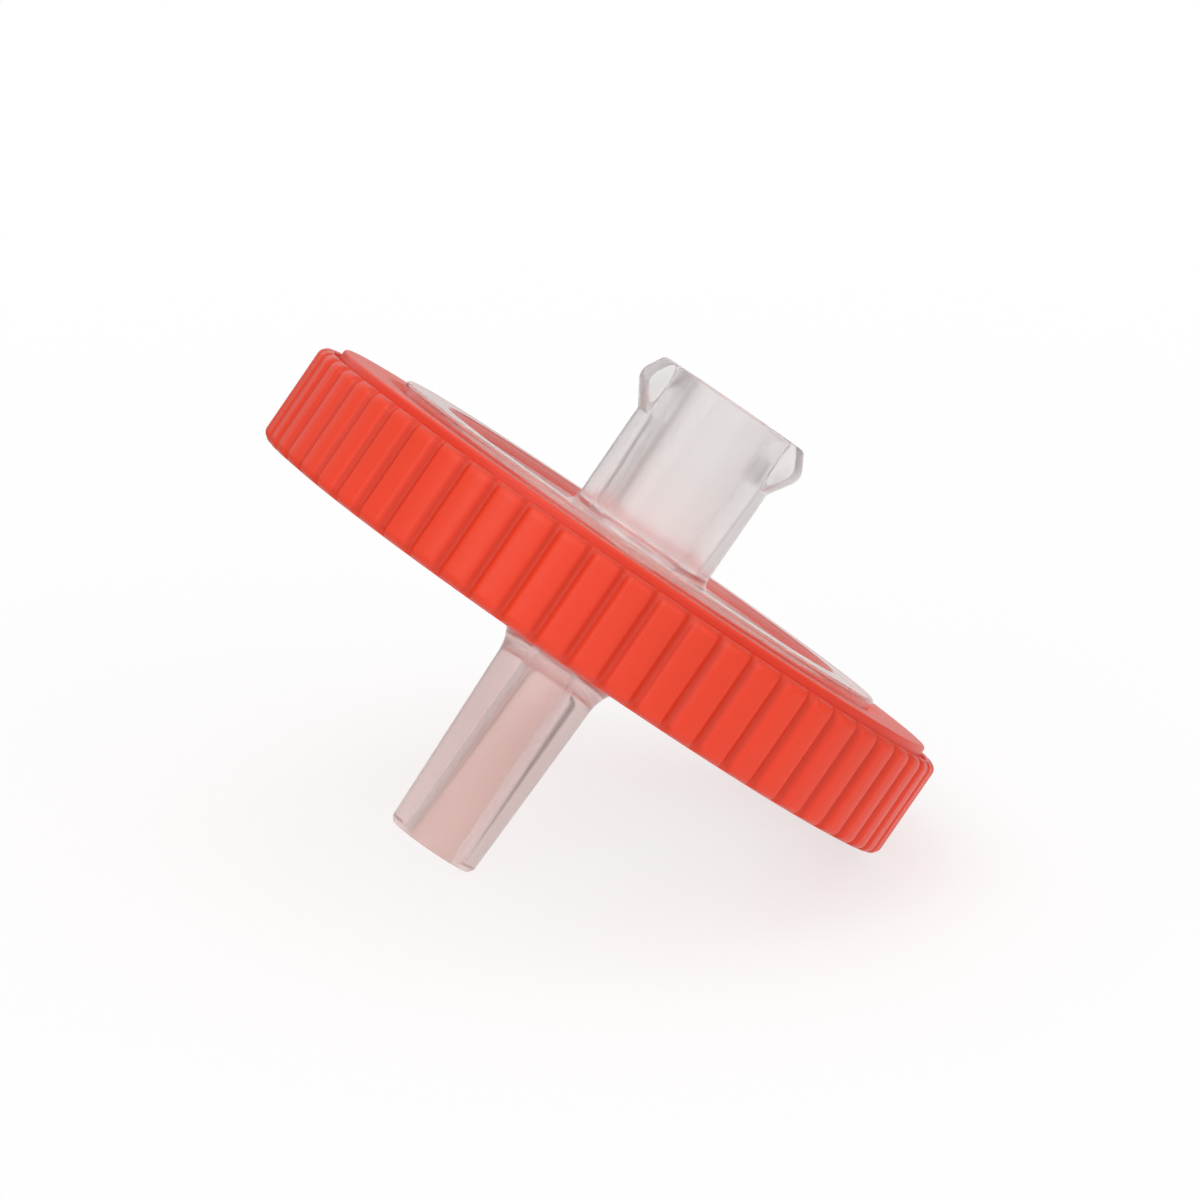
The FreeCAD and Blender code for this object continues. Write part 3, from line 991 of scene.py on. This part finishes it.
class FilterRingSettings(bpy.types.PropertyGroup):
    rim_diameter: length_property("Rim diameter", "Over the ribs", RING_HIGH.y - RING_LOW.y)
    rim_height: length_property("Rim height", "Height of the ribbed edge", 4.45 * MM)
    upper_face: length_property("Upper face", "Flat face from the flange line, inlet side", 2.6 * MM)
    lower_face: length_property("Lower face", "Flat face from the flange line, outlet side", 2.3 * MM)
    corner_radius: length_property("Corner radius", "Rounding of the rim's corners", 0.38 * MM)
    rib_count: bpy.props.IntProperty(
        name="Ribs", description="Count of ribs round the rim", default=60, min=12
    )
    groove_depth: length_property("Groove depth", "Depth between two ribs", 0.25 * MM)
    groove_width: length_property("Groove width", "Width between two ribs, at the rim", 0.76 * MM)


class FilterHousingSettings(bpy.types.PropertyGroup):
    inlet_recess: length_property("Inlet recess", "Window from the flange line", 2.6 * MM)
    inlet_border: length_property("Inlet border", "Raised edge of the window", 3.0 * MM)
    outlet_recess: length_property("Outlet recess", "Window from the flange line", 2.1 * MM)
    outlet_border: length_property("Outlet border", "Raised edge of the window", 2.35 * MM)
    barrel_diameter: length_property("Socket diameter", "Outside of the luer socket", 6.4 * MM)
    lug_span: length_property("Lug span", "Across the two locking lugs", 7.83 * MM)
    lug_angle: bpy.props.FloatProperty(
        name="Lug angle",
        description="Part of a turn that one lug spans",
        default=math.radians(62.0),
        subtype="ANGLE",
    )
    lug_turn: bpy.props.FloatProperty(
        name="Lug turn",
        description="How far the inlet lies turned about its axis",
        default=math.radians(-26.0),
        subtype="ANGLE",
    )
    tip_diameter: length_property("Tip diameter", "Outlet tip at its end", 4.04 * MM)
    spoke_count: bpy.props.IntProperty(
        name="Spokes", description="Count of spokes over the membrane", default=16, min=4
    )
    channel_count: bpy.props.IntProperty(
        name="Channels", description="Count of channels under the membrane", default=8, min=4
    )


class FilterFinishSettings(bpy.types.PropertyGroup):
    ring_colour: colour_property("Ring", "Colour of the grip ring", (0.82, 0.05, 0.016))
    # The pink in the windows' tints and in the outlet port's is partly the plastic's milky tint,
    # partly painted red light from the ring.
    inlet_port: colour_property("Inlet port", "Tint of the luer socket", (0.91, 0.905, 0.9))
    inlet_window: colour_property("Inlet window", "Tint of the window", (0.955, 0.89, 0.885))
    outlet_port: colour_property("Outlet port", "Tint of the luer tip", (0.9, 0.75, 0.72))
    outlet_window: colour_property("Outlet window", "Tint of the window", (0.96, 0.81, 0.79))
    # painted light: the ring's red glow in the window's edge
    edge_red_glow: colour_property("Edge blush", "Ring's red in the window's edge", (1.0, 0.44, 0.36))
    # painted shade on the step round the window's recess
    recess_shade_line: colour_property("Recess line", "Step round the window's recess", (0.6, 0.42, 0.42))
    # white with a faint pink, which is painted red light from the ring
    membrane_white_and_glow: colour_property("Membrane", "Colour of the membrane", (0.97, 0.93, 0.93))
    clearness: bpy.props.FloatProperty(
        name="Clearness",
        description="How much light goes straight through the housings",
        default=0.84,
        min=0.0,
        max=1.0,
        subtype="FACTOR",
    )


class FilterStageSettings(bpy.types.PropertyGroup):
    floor_colour: colour_property("Floor", "Colour of the floor", (0.96, 0.96, 0.96))
    air_light: bpy.props.FloatProperty(
        name="Air light", description="Light from all round", default=0.8, min=0.0
    )
    lamp_light: bpy.props.FloatProperty(
        name="Lamp light", description="Light of the softboxes", default=1.6, min=0.0
    )
    seen_light: bpy.props.FloatProperty(
        name="Seen light",
        description="How bright the backdrop is in what the plastic mirrors and bends",
        default=0.77,
        min=0.0,
    )
    side_shade: bpy.props.FloatProperty(
        name="Side shade",
        description="How much dimmer the plastic mirrors and bends the stage to both sides",
        default=0.65,
        min=0.0,
        max=1.0,
        subtype="FACTOR",
    )
    shadow_veil: bpy.props.FloatProperty(
        name="Shadow veil",
        description="How much of the floor's shadow the white backdrop hides close to the filter",
        default=0.68,
        min=0.0,
        max=1.0,
        subtype="FACTOR",
    )
    fill: bpy.props.FloatProperty(
        name="Fill",
        description="Share of the view's width that the filter's diameter takes up",
        default=0.62,
        min=0.1,
        max=1.0,
        subtype="FACTOR",
    )


# ---- operators -----------------------------------------------------------------------------------

class FILTER_OT_grip_ring(bpy.types.Operator):
    """Mould the ribbed grip ring"""

    bl_idname = "filter.grip_ring"
    bl_label = "Grip ring"
    bl_options = {"REGISTER", "UNDO"}

    def execute(self, context):
        scene = context.scene
        data = grip_ring_mesh(scene.filter_ring)
        half_pitch = FULL_TURN / scene.filter_ring.rib_count / 2
        material = red_plastic(scene.filter_finish)
        place_piece(context, data, material, ["grip_ring"], half_pitch)
        return {"FINISHED"}


class FILTER_OT_inlet_housing(bpy.types.Operator):
    """Mould the inlet housing with its luer socket"""

    bl_idname = "filter.inlet_housing"
    bl_label = "Inlet housing"
    bl_options = {"REGISTER", "UNDO"}

    def execute(self, context):
        scene = context.scene
        data = inlet_housing_mesh(scene.filter_housing)
        finish = scene.filter_finish
        material = clear_plastic(
            "clear_inlet_plastic", finish, finish.inlet_port, finish.inlet_window
        )
        turn = scene.filter_housing.lug_turn
        piece = place_piece(
            context, data, material, ["inlet_housing"], turn
        )
        piece.visible_diffuse = False  # so that the air's light reaches the membrane through it
        return {"FINISHED"}


class FILTER_OT_outlet_housing(bpy.types.Operator):
    """Mould the outlet housing with its luer tip"""

    bl_idname = "filter.outlet_housing"
    bl_label = "Outlet housing"
    bl_options = {"REGISTER", "UNDO"}

    def execute(self, context):
        scene = context.scene
        data = outlet_housing_mesh(scene.filter_housing)
        finish = scene.filter_finish
        material = clear_plastic(
            "clear_outlet_plastic", finish, finish.outlet_port, finish.outlet_window
        )
        piece = place_piece(
            context, data, material, ["outlet_housing"]
        )
        piece.visible_diffuse = False  # so that the air's light reaches the membrane through it
        return {"FINISHED"}


class FILTER_OT_membrane(bpy.types.Operator):
    """Cut the membrane disc"""

    bl_idname = "filter.membrane"
    bl_label = "Membrane"
    bl_options = {"REGISTER", "UNDO"}

    def execute(self, context):
        material = membrane_material(context.scene.filter_finish)
        place_piece(context, membrane_mesh(), material, ["membrane"])
        return {"FINISHED"}


class FILTER_OT_stage(bpy.types.Operator):
    """Set up the floor, the softboxes and the camera"""

    bl_idname = "filter.stage"
    bl_label = "Stage"
    bl_options = {"REGISTER", "UNDO"}

    def execute(self, context):
        scene = context.scene
        stage = scene.filter_stage
        low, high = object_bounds()
        middle = (low + high) / 2
        make_world(scene, stage)
        make_floor(scene, stage)
        make_lamps(scene, stage, middle)
        make_camera(scene, stage, middle, high.y - low.y)
        scene.view_settings.view_transform = "Standard"
        return {"FINISHED"}


class FILTER_PT_workbench(bpy.types.Panel):
    """Sizes, finishes and pieces of the filter"""

    bl_idname = "FILTER_PT_workbench"
    bl_label = "Syringe Filter"
    bl_space_type = "VIEW_3D"
    bl_region_type = "UI"
    bl_category = "Filter"

    def draw(self, context):
        for name in SETTINGS:
            box = self.layout.box()
            settings = getattr(context.scene, name)
            for label in settings.__annotations__:
                box.prop(settings, label)
        for operator in OPERATORS:
            self.layout.operator(operator.bl_idname)


SETTINGS = {
    "filter_ring": FilterRingSettings,
    "filter_housing": FilterHousingSettings,
    "filter_finish": FilterFinishSettings,
    "filter_stage": FilterStageSettings,
}
OPERATORS = (
    FILTER_OT_grip_ring,
    FILTER_OT_inlet_housing,
    FILTER_OT_outlet_housing,
    FILTER_OT_membrane,
    FILTER_OT_stage,
)
CLASSES = (*SETTINGS.values(), *OPERATORS, FILTER_PT_workbench)


def register():
    for cls in CLASSES:
        bpy.utils.register_class(cls)
    for name, settings in SETTINGS.items():
        setattr(bpy.types.Scene, name, bpy.props.PointerProperty(type=settings))


def unregister():
    for name in SETTINGS:
        delattr(bpy.types.Scene, name)
    for cls in reversed(CLASSES):
        bpy.utils.unregister_class(cls)


def main():
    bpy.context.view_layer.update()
    register()
    bpy.ops.filter.grip_ring()
    bpy.ops.filter.inlet_housing()
    bpy.ops.filter.outlet_housing()
    bpy.ops.filter.membrane()
    bpy.ops.filter.stage()


if __name__ == "__main__":
    main()
